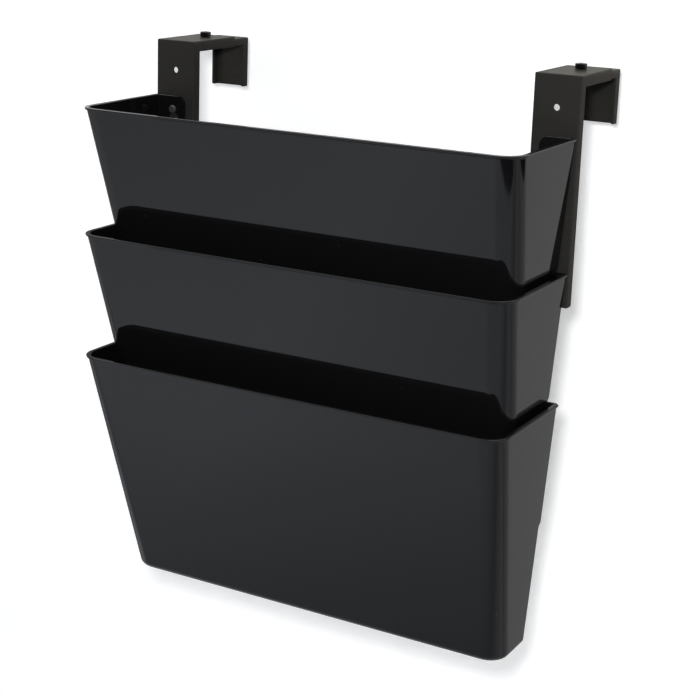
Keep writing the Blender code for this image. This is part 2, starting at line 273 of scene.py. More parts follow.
def mixColours(tree, mask, first, second):
    node = tree.nodes.new("ShaderNodeMix")
    node.data_type = "RGBA"
    tree.links.new(mask, node.inputs["Factor"])
    for label, colour in (("A", first), ("B", second)):
        socket = [s for s in node.inputs if s.name == label and s.type == "RGBA"][0]
        socket.default_value = (*colour, 1)
    return [s for s in node.outputs if s.type == "RGBA"][0]


# Surface effects that several materials share

def newGroup(name, inputs, output):
    group = bpy.data.node_groups.new(name, "ShaderNodeTree")
    group.interface.new_socket("Vector", in_out="INPUT", socket_type="NodeSocketVector")
    for label, value in inputs.items():
        socket = group.interface.new_socket(label, in_out="INPUT", socket_type="NodeSocketFloat")
        socket.default_value = value
    group.interface.new_socket(output, in_out="OUTPUT", socket_type="NodeSocketFloat")
    return group, group.nodes.new("NodeGroupInput"), group.nodes.new("NodeGroupOutput")


scuffForm = {
    "patchDetail": 3,
    "patchFrom": (0.48, 0.70),  # noise at which a patch starts, and at which it is full
    "patchShare": 0.6,  # beside 1 for the hairs
    "hairDetail": 2,
    "hairFrom": (0.62, 0.70),
    "hairTurn": (0.35, 0.2, 0.6),
    "hairStretch": (0.06, 1.0, 1.0),
    "strength": 0.6,
}


# faint rubbed patches crossed by fine hairline scuffs, as a mask
def makeScuffs():
    s = scuffForm
    group, given, result = newGroup(
        "faintScuffs", {"Patch Scale": 14.0, "Hair Scale": 220.0, "Amount": 0.5}, "Mask")
    spot = given.outputs["Vector"]
    patches = addNoise(group, spot, given.outputs["Patch Scale"], s["patchDetail"])
    patches = addRange(group, patches, *s["patchFrom"], 0, 1)
    stretch = addNamed(group, "ShaderNodeMapping",
                       {"Vector": spot, "Rotation": s["hairTurn"], "Scale": s["hairStretch"]})
    hairs = addNoise(group, stretch.outputs["Vector"], given.outputs["Hair Scale"], s["hairDetail"])
    hairs = addRange(group, hairs, *s["hairFrom"], 0, 1)
    both = addMath(group, "ADD", addMath(group, "MULTIPLY", patches, s["patchShare"]), hairs)
    both = addMath(group, "MULTIPLY", both, s["strength"])
    group.links.new(addMath(group, "MULTIPLY", both, given.outputs["Amount"]), result.inputs["Mask"])
    return group


rippleForm = {"waveDetail": 1, "grainDetail": 2}


# long soft waves with a fine grain on them, as a height
def makeRipple():
    s = rippleForm
    group, given, result = newGroup(
        "mouldedRipple", {"Wave Scale": 9.0, "Grain Scale": 900.0, "Grain Share": 0.1}, "Height")
    spot = given.outputs["Vector"]
    waves = addNoise(group, spot, given.outputs["Wave Scale"], s["waveDetail"])
    grain = addNoise(group, spot, given.outputs["Grain Scale"], s["grainDetail"])
    grain = addMath(group, "MULTIPLY", grain, given.outputs["Grain Share"])
    group.links.new(addMath(group, "ADD", waves, grain), result.inputs["Height"])
    return group


dustForm = {"rareFrom": (0.93, 0.95)}  # only a cell whose random red is higher holds a speck


# scattered dust specks, as a mask
def makeDust():
    group, given, result = newGroup("dustSpecks", {"Scale": 260.0, "Size": 0.11}, "Mask")
    cells = addNamed(group, "ShaderNodeTexVoronoi",
                     {"Vector": given.outputs["Vector"], "Scale": given.outputs["Scale"]})
    speck = addRange(group, cells.outputs["Distance"], 0, given.outputs["Size"], 1, 0)
    rare = addNode(group, "ShaderNodeSeparateColor", cells.outputs["Color"])
    few = addRange(group, rare.outputs["Red"], *dustForm["rareFrom"], 0, 1)
    group.links.new(addMath(group, "MULTIPLY", speck, few), result.inputs["Mask"])
    return group


scuffs = makeScuffs()
ripple = makeRipple()
dust = makeDust()


def useGroup(tree, group, spot, values):
    node = tree.nodes.new("ShaderNodeGroup")
    node.node_tree = group
    for label, value in {"Vector": spot, **values}.items():
        feed(tree, node.inputs[label], value)
    return node.outputs[0]


def startMaterial(name):
    material = bpy.data.materials.new(name)
    material.use_nodes = True
    tree = material.node_tree
    spot = tree.nodes.new("ShaderNodeTexCoord").outputs["Object"]
    return material, tree, tree.nodes["Principled BSDF"], spot


# sets how rough the surface is, clean and rubbed, and gives the mask of where it is rubbed
def addWear(tree, shader, spot, look):
    rubbed = useGroup(tree, scuffs, spot, look["scuffs"])
    clean, worn = look["roughness"]
    tree.links.new(addRange(tree, rubbed, 0, 1, clean, worn), shader.inputs["Roughness"])
    return rubbed


def addColours(tree, shader, mask, first, second):
    tree.links.new(mixColours(tree, mask, first, second), shader.inputs["Base Color"])


def addBump(tree, shader, spot, look):
    height = useGroup(tree, ripple, spot, look["ripple"])
    bump = addNamed(tree, "ShaderNodeBump", {"Distance": look["bump"], "Height": height})
    tree.links.new(bump.outputs["Normal"], shader.inputs["Normal"])


plasticLook = {
    "colour": (0.0042, 0.0042, 0.0046),
    "dustColour": (0.10, 0.10, 0.10),
    "roughness": (0.05, 0.13),
    "specular": 0.5,
    "scuffs": {"Patch Scale": 16, "Hair Scale": 260, "Amount": 0.5},
    "dust": {"Scale": 240, "Size": 0.10},
    "ripple": {"Wave Scale": 11, "Grain Scale": 700, "Grain Share": 0.004},
    "bump": 0.05 * mm,
}


# polished black moulding: gloss broken only by a trace of handling
def makePlastic():
    look = plasticLook
    material, tree, shader, spot = startMaterial("blackGlossPlastic")
    addWear(tree, shader, spot, look)
    specks = useGroup(tree, dust, spot, look["dust"])
    addColours(tree, shader, specks, look["colour"], look["dustColour"])
    addBump(tree, shader, spot, look)
    shader.inputs["Specular IOR Level"].default_value = look["specular"]
    return material


paintLook = {
    "colour": (0.043, 0.0414, 0.0385),
    "thinColour": (0.060, 0.058, 0.055),
    "roughness": (0.34, 0.25),
    "metallic": 0.5,
    "specular": 0,
    "edgeTint": (0.88, 0.86, 0.785, 1),
    "scuffs": {"Patch Scale": 40, "Hair Scale": 400, "Amount": 0.7},
    "ripple": {"Wave Scale": 750, "Grain Scale": 2600, "Grain Share": 0.3},
    "bump": 0.03 * mm,
}


# satin black paint with a fine orange peel
def makePaint():
    look = paintLook
    material, tree, shader, spot = startMaterial("satinBlackPaint")
    rubbed = addWear(tree, shader, spot, look)
    addColours(tree, shader, rubbed, look["colour"], look["thinColour"])
    addBump(tree, shader, spot, look)
    shader.inputs["Metallic"].default_value = look["metallic"]
    shader.inputs["Specular IOR Level"].default_value = look["specular"]
    shader.inputs["Specular Tint"].default_value = look["edgeTint"]
    return material


oxideLook = {
    "colour": (0.004, 0.004, 0.0045),
    "rubbedColour": (0.020, 0.019, 0.018),
    "roughness": (0.16, 0.28),
    "metallic": 0.5,
    "scuffs": {"Patch Scale": 500, "Hair Scale": 1800, "Amount": 0.8},
}
phosphateLook = {
    "colour": (0.050, 0.048, 0.045),
    "rubbedColour": (0.085, 0.082, 0.078),
    "roughness": (0.38, 0.52),
    "metallic": 0.1,
    "scuffs": {"Patch Scale": 500, "Hair Scale": 1800, "Amount": 0.8},
}
zincLook = {
    "colour": (0.50, 0.51, 0.53),
    "rubbedColour": (0.36, 0.37, 0.38),
    "roughness": (0.26, 0.42),
    "metallic": 1.0,
    "scuffs": {"Patch Scale": 350, "Hair Scale": 1500, "Amount": 1.0},
    "ripple": {"Wave Scale": 600, "Grain Scale": 3000, "Grain Share": 0.5},
    "bump": 0.01 * mm,
}


# steel of the small parts, a little different where rubbed, and grained if its look has a ripple
def makeSteel(name, look):
    material, tree, shader, spot = startMaterial(name)
    rubbed = addWear(tree, shader, spot, look)
    addColours(tree, shader, rubbed, look["colour"], look["rubbedColour"])
    if "ripple" in look:
        addBump(tree, shader, spot, look)
    shader.inputs["Metallic"].default_value = look["metallic"]
    return material


plastic = makePlastic()
paint = makePaint()
oxide = makeSteel("blackOxideSteel", oxideLook)
phosphate = makeSteel("phosphatedSteel", phosphateLook)
zinc = makeSteel("zincPlate", zincLook)
print("materials ready")


# Pockets: one moulding at three levels

pocketSizes = {
    "wall": 2.3 * mm,
    "sideTaper": 12 * mm,  # how far each side comes in, rim to floor
    "frontTaper": 51 * mm,
    "frontRadius": 15 * mm,
    "rearRadius": 3 * mm,
    "floorRadius": 5 * mm,
    "leastRadius": 0.4 * mm,
    "lipRadius": 1.3 * mm,
    "lipReach": 1.5 * mm,  # the wall stands this far in from the rim's widest line
    "lipProud": 1.2 * mm,  # how far the rolled lip stands out from the wall
    "lipTop": 0.9 * mm,  # its upper rounding
    "lipFace": 0.3 * mm,  # upright below that, then it runs back to the wall
    "lipHeight": 2.1 * mm,
    "innerEdge": 0.6 * mm,
    "backStep": 2.7 * mm,  # the lower back stands forward, to let the next pocket's back in
    "stepRise": 3 * mm,
    "stepAboveRim": 1 * mm,
    "earBesideKeyhole": 9.25 * mm,
    "earRadius": 6.5 * mm,
    "backCutDepth": 32 * mm,
    "backCutRadius": 10 * mm,
    "keyholeDrop": 9.7 * mm,
    "keyholeRun": 7 * mm,
    "keyholeSlot": 3.8 * mm,
    "keyholeEye": 9.5 * mm,
    "edgeSoftness": 0.6 * mm,
    "gateWidth": 9 * mm,  # shallow dish under the floor where the plastic came in
    "gateDepth": 0.5 * mm,
    "gateNub": 2.4 * mm,
    "gateNubShare": 1 / 3,  # how deep in the dish the nub's end lies
    "frontSteps": 24,
    "rearSteps": 6,
    "floorSteps": 10,
    "lipSteps": 6,
    "innerEdgeSteps": 3,
    "stepSteps": 6,
    "cutSteps": 12,
    "softSteps": 3,
    "gateSteps": 48,
    "crispFrom": 30,  # degrees
}
topLow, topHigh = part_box("top_pocket")
pocketHeight = topHigh.z - topLow.z
pocketPitch = topHigh.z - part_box("middle_pocket")[1].z
lipFall = pocketSizes["lipRadius"] / pocketHeight  # the lip is widest one lip radius down
pocketHalf = (topHigh.x - topLow.x) / 2 + pocketSizes["sideTaper"] * lipFall
pocketDepth = topHigh.y - topLow.y + pocketSizes["frontTaper"] * lipFall
backY, rimZ = topHigh.y, topHigh.z
keyholeX = middleOf("right_top_screw").x


# how far the back has stepped forward at a depth below the rim
def stepAt(drop):
    bottom = pocketPitch - pocketSizes["stepAboveRim"]
    share = min(max((drop - bottom) / pocketSizes["stepRise"] + 1, 0), 1)
    return pocketSizes["backStep"] * share


# centre and radius of the four corners of a level section, inset from the outside of the wall
def cornersAt(drop, inset):
    s = pocketSizes
    share = drop / pocketHeight
    half = pocketHalf - s["lipReach"] - s["sideTaper"] * share - inset
    front = backY - pocketDepth + s["lipReach"] + s["frontTaper"] * share + inset
    rear = backY - stepAt(drop) - max(inset, 0)
    small = max(s["rearRadius"] - max(inset, 0), s["leastRadius"])
    large = max(s["frontRadius"] - inset, s["leastRadius"])
    places = [(half - small, rear - small, small), (small - half, rear - small, small),
              (large - half, front + large, large), (half - large, front + large, large)]
    return [(Vector((x, y, rimZ - drop)), radius) for x, y, radius in places]


def middleY(corners):
    return sum(spot.y for spot, radius in corners) / len(corners)


# the path of the section as (drop, inset): floor, wall, over the lip and down to the inner floor
def pocketPath():
    s = pocketSizes
    wall, top, edge = s["wall"], s["lipTop"], s["innerEdge"]
    stepBottom = pocketPitch - s["stepAboveRim"]
    steps = [stepBottom - s["stepRise"] * i / s["stepSteps"] for i in range(s["stepSteps"] + 1)]

    def floorRounding(thickness):
        radius = s["floorRadius"] - thickness
        return [(pocketHeight - thickness - radius * (1 - math.cos(turn)),
                 thickness + radius * (1 - math.sin(turn))) for turn in quarterTurn(s["floorSteps"])]

    path = floorRounding(0)
    path += [(drop, 0) for drop in steps]
    path.append((s["lipHeight"] + top, 0))
    faceLow = top + s["lipFace"]
    path += [(faceLow + (s["lipHeight"] - faceLow) * math.cos(turn), -s["lipProud"] * math.sin(turn))
             for turn in quarterTurn(s["lipSteps"])]
    path += [(top * (1 - math.sin(turn)), top * (1 - math.cos(turn)) - s["lipProud"])
             for turn in quarterTurn(s["lipSteps"])]
    path += [(edge * (1 - math.cos(turn)), wall - edge * (1 - math.sin(turn)))
             for turn in quarterTurn(s["innerEdgeSteps"])]
    path += [(drop, wall) for drop in reversed(steps)]
    path += reversed(floorRounding(wall))
    return path


# each ring is pulled from the last, then its corners are sized and moved to their places
def pullRing(bm, edges, corner, before, after):
    grown = bmesh.ops.extrude_edge_only(bm, edges=edges)
    verts = set(newPoints(grown))
    for number, ((oldSpot, oldRadius), (newSpot, newRadius)) in enumerate(zip(before, after)):
        group = [v for v in verts if v[corner] == number]
        size = newRadius / oldRadius
        bmesh.ops.scale(bm, verts=group, vec=(size, size, 1), space=Matrix.Translation(-oldSpot))
        bmesh.ops.translate(bm, verts=group, vec=newSpot - oldSpot)
    return [part for part in grown["geom"]
            if isinstance(part, bmesh.types.BMEdge) and set(part.verts) <= verts]


def moulding():
    s = pocketSizes
    path = pocketPath()
    before = cornersAt(*path[0])
    signs = [(1, 1), (-1, 1), (-1, -1), (1, -1)]
    bm = bmesh.new()
    corner = bm.verts.layers.int.new("corner")
    verts = [bm.verts.new(spot + Vector((sx * radius, sy * radius, 0)))
             for (spot, radius), (sx, sy) in zip(before, signs)]
    bm.faces.new(verts)
    rear, front = before[0][1], before[2][1]
    bevel(bm, verts[:2], rear, s["rearSteps"], affect="VERTICES")
    bevel(bm, verts[2:], front, s["frontSteps"], affect="VERTICES")
    middle = middleY(before)
    for vert in bm.verts:
        vert[corner] = signs.index((1 if vert.co.x > 0 else -1, 1 if vert.co.y > middle else -1))
    edges = bm.edges[:]
    for drop, inset in path[1:]:
        after = cornersAt(drop, inset)
        edges = pullRing(bm, edges, corner, before, after)
        before = after
    bmesh.ops.contextual_create(bm, geom=edges)
    return toObject(bm, "moulding", s["crispFrom"])


# a keyhole, and the hole one level down for the next pocket's screw
def keyholeCutters(x):
    s = pocketSizes
    z = rimZ - s["keyholeDrop"]
    low, high = backY - s["wall"] - cutOver, backY + cutOver
    half = s["keyholeSlot"] / 2
    narrow = rodAlong("narrow", "y", half, low, high, (x, 0, z))
    eye = rodAlong("eye", "y", s["keyholeEye"] / 2, low, high, (x, 0, z - s["keyholeRun"]))
    slot = slab("slot", [(x - half, z - s["keyholeRun"]), (x + half, z - s["keyholeRun"]),
                         (x + half, z), (x - half, z)], low, high, alongY)
    stack = rodAlong("stackHole", "y", half, low - s["backStep"], backY, (x, 0, z - pocketPitch))
    return [narrow, eye, slot, stack]


# lowers the back between the ears
def backCutter():
    s = pocketSizes
    ear = keyholeX - s["earBesideKeyhole"]
    wide = ear + s["earRadius"] + cutOver
    top, bottom = rimZ + hairGap, rimZ - s["backCutDepth"]
    outline = [(-wide, top + cutOver), (-wide, top), (-ear, top), (-ear, bottom),
               (ear, bottom), (ear, top), (wide, top), (wide, top + cutOver)]
    return slab("backCut", outline, backY - s["wall"] - cutOver, backY + cutOver, alongY,
                [((2, 5), s["earRadius"], s["cutSteps"]), ((3, 4), s["backCutRadius"], s["cutSteps"])])


def gateCutter():
    s = pocketSizes
    half, depth, nub = s["gateWidth"] / 2, s["gateDepth"], s["gateNub"] / 2
    nubEnd = depth * s["gateNubShare"]
    dish = turned("gateDish", [(0, -cutOver), (half, -cutOver), (half, 0), (half - depth, depth),
                               (nub, depth), (nub, nubEnd), (0, nubEnd)], s["gateSteps"])
    centreY = middleY(cornersAt(pocketHeight, 0))
    dish.data.transform(Matrix.Translation((0, centreY, rimZ - pocketHeight)))
    return dish


def isBackEdge(edge):
    s = pocketSizes
    deepest = backY - s["backStep"] - s["wall"] - hairGap
    limit = keyholeX + s["keyholeEye"]
    return all(v.co.y > deepest and abs(v.co.x) < limit for v in edge.verts)


shell = moulding()
cuts = [backCutter(), gateCutter()]
for sign in sides.values():
    cuts += keyholeCutters(sign * keyholeX)
combine(shell, cuts)
breakEdges(shell, pocketSizes["edgeSoftness"], pocketSizes["softSteps"], isBackEdge)
for number, level in enumerate(levels):
    lower = Matrix.Translation((0, 0, -pocketPitch * number))
    place(shell, level + "PocketShell", lower, level + "_pocket", "pocket_stack", plastic)
discard(shell)
print("pockets moulded")


# Hangers: a bent strap with a top leg, and the rear hook nested under it

sheetSizes = {  # both are bent from the same sheet
    "wall": 1.8 * mm,
    "flange": 7.5 * mm,
    "bend": 1.0 * mm,
    "innerBend": 0.5 * mm,
    "cornerRound": 1.4 * mm,
    "edgeSoftness": 0.18 * mm,
    "bendSteps": 6,
    "innerSteps": 3,
    "softSteps": 2,
}
strapSizes = {
    "hole": 4.5 * mm,
    "spareHoleDrop": 21.5 * mm,
    "clampHole": 4.8 * mm,
    "screwLevels": 2,  # how many levels of pocket screws pass through it
}
hookSizes = {
    "slot": 4.6 * mm,
    "slotWeb": 4 * mm,
    "slotCover": 3 * mm,  # strap leg beyond the slot's rear end
}


# the bend between plate and roof, and the bends from both into the flanges
def bends(half, plate, roof):
    return [{"y": plate, "z": roof}, {"x": half, "y": plate}, {"x": -half, "y": plate},
            {"x": half, "z": roof}, {"x": -half, "z": roof}]


# a channel with its flanges' free corners rounded; the hollow that opens it is cut later
def channel(name, half, outline, corners, plate, roof):
    s = sheetSizes
    body = slab(name, outline, -half, half, alongX)
    roundEdges(body, [dict(zip("yz", spot)) for spot in corners], s["cornerRound"], s["bendSteps"])
    roundEdges(body, bends(half, plate, roof), s["bend"], s["bendSteps"])
    return body


# from the inner faces of plate and roof to past the channel's two open ends
def channelHollow(name, half, plate, roof, openY, openZ):
    outline = [(plate, openZ), (openY, openZ), (openY, roof), (plate, roof)]
    hollow = slab(name, outline, -half, half, alongX)
    roundEdges(hollow, bends(half, plate, roof), sheetSizes["innerBend"], sheetSizes["innerSteps"])
    return hollow


def finishChannel(body, cutters):
    combine(body, cutters)
    breakEdges(body, sheetSizes["edgeSoftness"], sheetSizes["softSteps"])
    return body


def strapShape():
    s, wall = strapSizes, sheetSizes["wall"]
    low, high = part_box("right_strap")
    half = (high.x - low.x) / 2
    front, legEnd, top, end = low.y, high.y, high.z, low.z
    under, behind = top - sheetSizes["flange"], front + sheetSizes["flange"]
    outline = [(front, end), (behind, end), (behind, under), (legEnd, under), (legEnd, top), (front, top)]
    body = channel("strapBody", half, outline, [(behind, end), (legEnd, under)], front, top)
    plate, roof = front + wall, top - wall
    cutters = [channelHollow("strapHollow", half - wall, plate, roof, legEnd + cutOver, end - cutOver)]
    heights = [middleOf(f"right_{level}_screw").z for level in levels[:s["screwLevels"]]]
    for z in [top - s["spareHoleDrop"]] + heights:
        hole = rodAlong("strapHole", "y", s["hole"] / 2, front - cutOver, plate + cutOver, (0, 0, z))
        cutters.append(hole)
    clampSpot = (0, middleOf("right_clamp_screw").y, 0)
    hole = rodAlong("clampHole", "z", s["clampHole"] / 2, roof - cutOver, top + cutOver, clampSpot)
    return finishChannel(body, cutters + [hole])


def hookShape():
    s, wall = hookSizes, sheetSizes["wall"]
    low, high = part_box("right_rear_hook")
    half = (high.x - low.x) / 2
    front, back, top, end = low.y, high.y, high.z, low.z
    under = 0  # its leg's flanges end level with the strap's, on the partition
    before = back - sheetSizes["flange"]
    outline = [(front, under), (before, under), (before, end), (back, end), (back, top), (front, top)]
    body = channel("hookBody", half, outline, [(before, end), (front, under)], back, top)
    plate, roof = back - wall, top - wall
    hollow = channelHollow("hookHollow", half - wall, plate, roof, front - cutOver, end - cutOver)
    radius = s["slot"] / 2
    nearY = front + s["slotWeb"] + radius
    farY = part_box("right_strap")[1].y - s["slotCover"] - radius
    lowZ, highZ = roof - cutOver, top + cutOver
    run = slab("slotRun", [(nearY, lowZ), (farY, lowZ), (farY, highZ), (nearY, highZ)],
               -radius, radius, alongX)
    ends = [rodAlong("slotEnd", "z", radius, lowZ, highZ, (0, y, 0)) for y in (nearY, farY)]
    return finishChannel(body, [hollow, run] + ends)


strap = strapShape()
hook = hookShape()
hangerX = middleOf("right_strap").x
for side, sign in sides.items():
    aside = Matrix.Translation((sign * hangerX, 0, 0))
    place(strap, side + "BentStrap", aside, side + "_strap", "pocket_stack", paint)
    place(hook, side + "BentHook", aside, side + "_rear_hook", side + "_hook", paint)
discard(strap, hook)
print("hangers bent")


# Screws and nuts

clampSizes = {
    "head": 8 * mm,
    "headHeight": 3.3 * mm,
    "headSteps": 4,
    "shank": 4 * mm,
    "pitch": 0.7 * mm,
    "socket": 3.2 * mm,
    "socketDepth": 2 * mm,
    "edge": 0.4 * mm,
    "knurls": 36,
    "knurlShare": 0.975,
    "nut": 7 * mm,
    "nutHeight": 2.2 * mm,
    "nutCorners": 4,
}
pocketScrewSizes = {
    "head": 5.7 * mm,
    "headHeight": 1.65 * mm,
    "headSteps": 8,
    "rimShare": 0.2,  # of the head's height, upright below the dome
    "flatShare": 0.7,  # of its radius, flat on top
    "shank": 3 * mm,
    "pitch": 0.5 * mm,
    "socket": 2.1 * mm,
    "socketDepth": 1.2 * mm,
    "edge": 0.2 * mm,
    "nut": 5.5 * mm,
    "nutHeight": 2.4 * mm,
    "nutCorners": 6,
}
threadForm = {  # one ridge wound round a thinner core, in shares of the pitch
    "depthShare": 0.6,
    "startShare": 0.3,  # from the screw's end
    "crestShare": 0.45,
    "widthShare": 0.9,
    "plainShare": 1.6,  # what the ridge leaves free at both ends together
    "perTurn": 24,
}
nutForm = {
    "boreGap": 0.4 * mm,  # round the screw
    "flatShare": 0.97,  # of half the width, inside the turned corners
    "chamfer": 30,  # degrees
    "chamferSteps": 96,
    "boreSteps": 48,
}


# a screw stands on z = 0 under its head
def screwShape(name, s, length, headOutline):
    t, pitch, radius = threadForm, s["pitch"], s["shank"] / 2
    core = radius - t["depthShare"] * pitch
    shank = [(0, -length), (core - s["edge"], -length), (core, s["edge"] - length), (core, -hairGap)]
    screw = turned(name, shank + headOutline)
    corner = s["socket"] / math.sqrt(3)
    low, high = s["headHeight"] - s["socketDepth"], s["headHeight"] + cutOver
    combine(screw, [turned("socket", [(0, low), (corner, low), (corner, high), (0, high)], steps=6)])
    bm = openMesh(screw)
    start = -length + pitch * t["startShare"]
    ridge = [(core - s["edge"], 0, start), (radius, 0, start + pitch * t["crestShare"]),
             (core - s["edge"], 0, start + pitch * t["widthShare"])]
    face = bm.faces.new([bm.verts.new(spot) for spot in ridge])
    steps = round((length - pitch * t["plainShare"]) / pitch * t["perTurn"])
    bmesh.ops.spin(bm, geom=[face], cent=(0, 0, 0), axis=(0, 0, 1), steps=steps,
                   angle=2 * math.pi * steps / t["perTurn"], dvec=(0, 0, pitch / t["perTurn"]))
    shade(closeMesh(bm, screw.data))
    return screw


def capHead(s):
    half, high, edge = s["head"] / 2, s["headHeight"], s["edge"]
    top = [(half - edge * (1 - math.cos(turn)), high - edge * (1 - math.sin(turn)))
           for turn in quarterTurn(s["headSteps"])]
    return [(half - edge / 2, 0), (half, edge / 2)] + top + [(0, high)]


def buttonHead(s):
    half, high = s["head"] / 2, s["headHeight"]
    rim, flat = high * s["rimShare"], half * s["flatShare"]
    dome = [(flat + (half - flat) * math.cos(turn), rim + (high - rim) * math.sin(turn))
            for turn in quarterTurn(s["headSteps"])]
    return [(half, 0)] + dome + [(0, high)]


# fine ridges round a cap head, for fingers
def knurl(screw, s):
    bm = openMesh(screw)
    step = math.pi / s["knurls"]
    low, high = s["edge"] / 4, s["headHeight"] - s["edge"] / 2
    rim = s["head"] / 2 - s["edge"] / 2
    pressed = [v for v in bm.verts if low < v.co.z < high and v.co.to_2d().length > rim
               and round(math.atan2(v.co.y, v.co.x) / step) % 2]
    bmesh.ops.scale(bm, verts=pressed, vec=(s["knurlShare"], s["knurlShare"], 1))
    closeMesh(bm, screw.data)


# a nut lies on z = 0, with its corners turned off and its hole countersunk
def nutShape(name, s):
    half, high, corners = s["nut"] / 2, s["nutHeight"], s["nutCorners"]
    reach = half / math.cos(math.pi / corners)
    bm = bmesh.new()
    bmesh.ops.create_circle(bm, cap_ends=True, segments=corners, radius=reach,
                            matrix=Matrix.Rotation(math.pi / corners, 4, "Z"))
    grown = bmesh.ops.extrude_face_region(bm, geom=bm.faces[:])
    bmesh.ops.translate(bm, verts=newPoints(grown), vec=(0, 0, high))
    nut = toObject(bm, name)
    flat, wide = half * nutForm["flatShare"], reach + hairGap
    fall = (wide - flat) * math.tan(math.radians(nutForm["chamfer"]))
    blank = turned("blank", [(0, -hairGap), (flat, -hairGap), (wide, fall), (wide, high - fall),
                             (flat, high + hairGap), (0, high + hairGap)], nutForm["chamferSteps"])
    combine(nut, [blank], "INTERSECT")
    bore, sink = s["shank"] / 2 + nutForm["boreGap"], s["pitch"] / 2
    mouth = bore + sink + cutOver
    hole = turned("hole", [(0, -cutOver), (mouth, -cutOver), (bore, sink), (bore, high - sink),
                           (mouth, high + cutOver), (0, high + cutOver)], nutForm["boreSteps"])
    combine(nut, [hole])
    return nut


clampLow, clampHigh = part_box("right_clamp_screw")
clampSeat = clampHigh.z - clampSizes["headHeight"]
clampScrew = screwShape("clampScrew", clampSizes, clampSeat - clampLow.z, capHead(clampSizes))
knurl(clampScrew, clampSizes)
clampNut = nutShape("clampNut", clampSizes)
for side in sides:
    node = side + "_clamp_screw"
    spot = middleOf(node)
    place(clampScrew, side + "ClampCapScrew", Matrix.Translation((spot.x, spot.y, clampSeat)), node,
          side + "_clamp", oxide)
    node = side + "_clamp_nut"
    spot = middleOf(node)
    place(clampNut, side + "ClampSquareNut", Matrix.Translation((spot.x, spot.y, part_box(node)[0].z)),
          node, "pocket_stack", zinc)
pocketNut = nutShape("pocketNut", pocketScrewSizes)
faceForward = Matrix.Rotation(math.radians(90), 4, "X")
for level in levels:
    low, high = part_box(f"right_{level}_screw")
    seat = low.y + pocketScrewSizes["headHeight"]
    screw = screwShape("pocketScrew", pocketScrewSizes, high.y - seat, buttonHead(pocketScrewSizes))
    for side in sides:
        node = f"{side}_{level}_screw"
        spot = middleOf(node)
        place(screw, f"{side}{level.capitalize()}ButtonScrew",
              Matrix.Translation((spot.x, seat, spot.z)) @ faceForward, node, "pocket_stack",
              phosphate)
        node = f"{side}_{level}_nut"
        spot = middleOf(node)
        place(pocketNut, f"{side}{level.capitalize()}HexNut",
              Matrix.Translation((spot.x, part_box(node)[1].y, spot.z)) @ faceForward, node,
              "pocket_stack", zinc)
    discard(screw)
discard(clampScrew, clampNut, pocketNut)
print("screws and nuts made")


# Studio: a white sweep behind and under the file, seen from its front only

studio = {
    "wallY": 0.095,
    "floorZ": -0.75,
    "top": 1.2,
    "width": 3.0,
    "front": -2.6,
    "bend": 0.2,
    "bendSteps": 16,
    "colour": 0.85,
    "glow": 0.385,  # what lifts the sweep to white in the picture
    "skyLight": (0.66, 0.22),  # from the left and from the right
    "skyTint": (0.94, 0.97, 1.0),
    "keyShare": 0.65,  # of the light that falls on what faces the lamp
    "keySize": 0.11,
    "keyLeft": 3.0,  # degrees from the camera, about the object
    "keyUp": 4.2,
}
# grey cards that only reflections see, as a photographer hangs them round gloss black
# each has its width, height, centre and turns, and ramps of (way, (distance, brightness) twice)
cards = {
    "cardBehind": {
        "size": (3.0, 0.75), "centre": (0, 0.092, -0.375), "turns": (90, 0),
        "ramps": [((0, 0, 1), (-0.50, 0.33), (-0.20, 0.405)), ((1, 0, 0), (-0.23, 0.5), (-0.19, 1.0))],
        "blackUpTo": (0.10, 0.13),  # either side of the middle, behind the top pocket's open back
        "blackDownTo": (-0.14, -0.10),
    },
    "cardBelow": {
        "size": (3.0, 2.65), "centre": (0, -1.25, -0.747), "turns": (0, 0),
        "ramps": [((0, -1, 0), (0.24, 0.355), (0.48, 0.67)), ((1, 0, 0), (-0.42, 1.0), (0.0, 0.72)),
                  ((1, 0, 0), (-0.90, 0.83), (-0.45, 1.0)), ((0, -1, 0), (0.08, 1.6), (0.22, 1.0))],
        "tint": (0.96, 1.0, 1.08),
    },
    "cardRight": {
        "size": (2.65, 1.95), "centre": (1.45, -1.25, 0.225), "turns": (90, -90),
        "ramps": [((0, 0, 1), (-0.3, 0.31), (0.1, 0.2))],
    },
    "cardLeft": {
        "size": (2.65, 1.95), "centre": (-1.45, -1.25, 0.225), "turns": (90, 90),
        "ramps": [((0, 0, 1), (-0.55, 0.35), (0.10, 0.10))],
    },
    "cardFront": {
        "size": (6.0, 1.95), "centre": (0, -2.58, 0.225), "turns": (90, 180),
        "ramps": [((0, 0, 1), (-0.70, 0.45), (-0.30, 0.08))],
    },
    "cardAbove": {  # dark, with a bright strip that runs over the file
        "size": (3.0, 3.2), "centre": (0, -1.0, 1.2), "turns": (180, 0),
        "ramps": [((0, 1, 0), (-0.90, 0.06), (-0.80, 2.6)), ((0, 1, 0), (0.35, 1.0), (0.40, 0.04))],
    },
}
# black flags that darken two streaks in the top pocket's rounded corner: one lies, one hangs
# each has its plane, how far along it lies, and its outline
flags = {
    "flagBelow": (alongZ, -0.745, [(0.222, -0.886), (0.391, -0.829), (0.491, -0.778), (0.686, -0.671),
                                   (0.807, -0.586), (0.909, -0.518), (1.047, -0.415), (1.118, -0.365),
                                   (1.158, -0.361), (1.26, -0.42), (0.95, -0.90), (0.222, -0.98)]),
    "flagBehind": (alongY, 0.09, [(0.669, -0.284), (0.507, -0.206), (0.424, -0.168), (0.366, -0.145),
                                  (0.324, -0.122), (0.292, -0.097), (0.292, -0.06), (0.70, -0.24)]),
}


